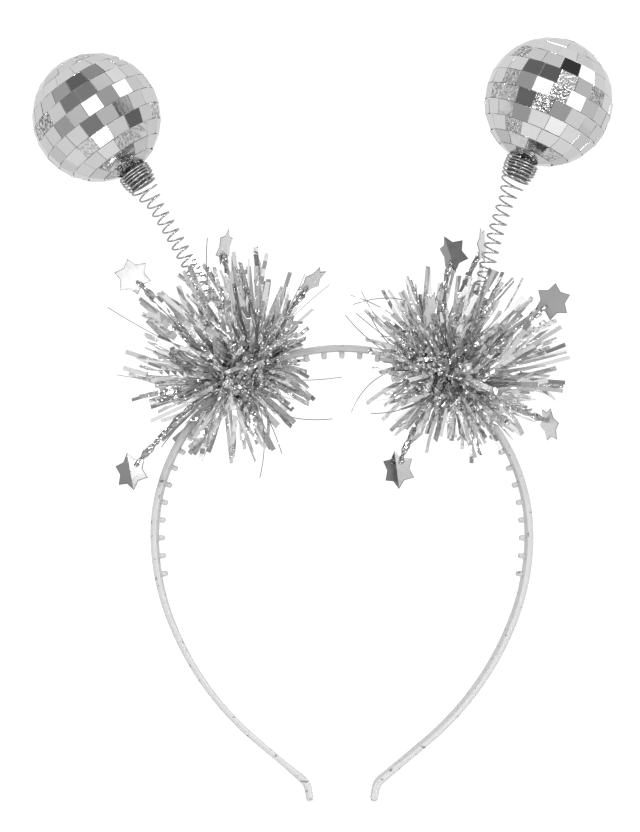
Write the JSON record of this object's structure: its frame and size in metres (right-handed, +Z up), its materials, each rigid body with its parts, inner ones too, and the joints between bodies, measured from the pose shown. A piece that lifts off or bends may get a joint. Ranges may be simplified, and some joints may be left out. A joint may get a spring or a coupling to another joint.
{
  "type": "disco ball headband",
  "caption": "Clear toothed plastic headband with mirror balls on coil springs, tinsel tufts at the springs' feet and foil stars on wrapped stems.",
  "frame": {"origin": "middle of the band's inner face at the crown, where the band sits on the head", "axes": "+Z up as worn, +X to the viewer's right along the band, +Y away from the viewer, through the band's opening"},
  "size_m": [0.2144, 0.0732, 0.2823],
  "materials": {
    "clear_plastic": "clear, slightly hazy, glossy",
    "spring_steel": "bright drawn wire",
    "mirror_tile": "small flat mirror tiles",
    "tinsel_foil": "bright crinkled foil strips",
    "star_foil": "bright foil, lightly crinkled"
  },
  "bodies": {
    "root": {"band": "clear_plastic", "spring_left": "spring_steel", "spring_right": "spring_steel", "ball_left": "mirror_tile", "ball_right": "mirror_tile", "tuft_left": "tinsel_foil", "tuft_right": "tinsel_foil", "star_left_1": "star_foil", "star_left_2": "star_foil", "star_left_3": "star_foil", "star_left_4": "star_foil", "star_right_1": "star_foil", "star_right_2": "star_foil", "star_right_3": "star_foil", "star_right_4": "star_foil", "star_right_5": "star_foil", "star_right_6": "star_foil"}
  },
  "joints": []
}
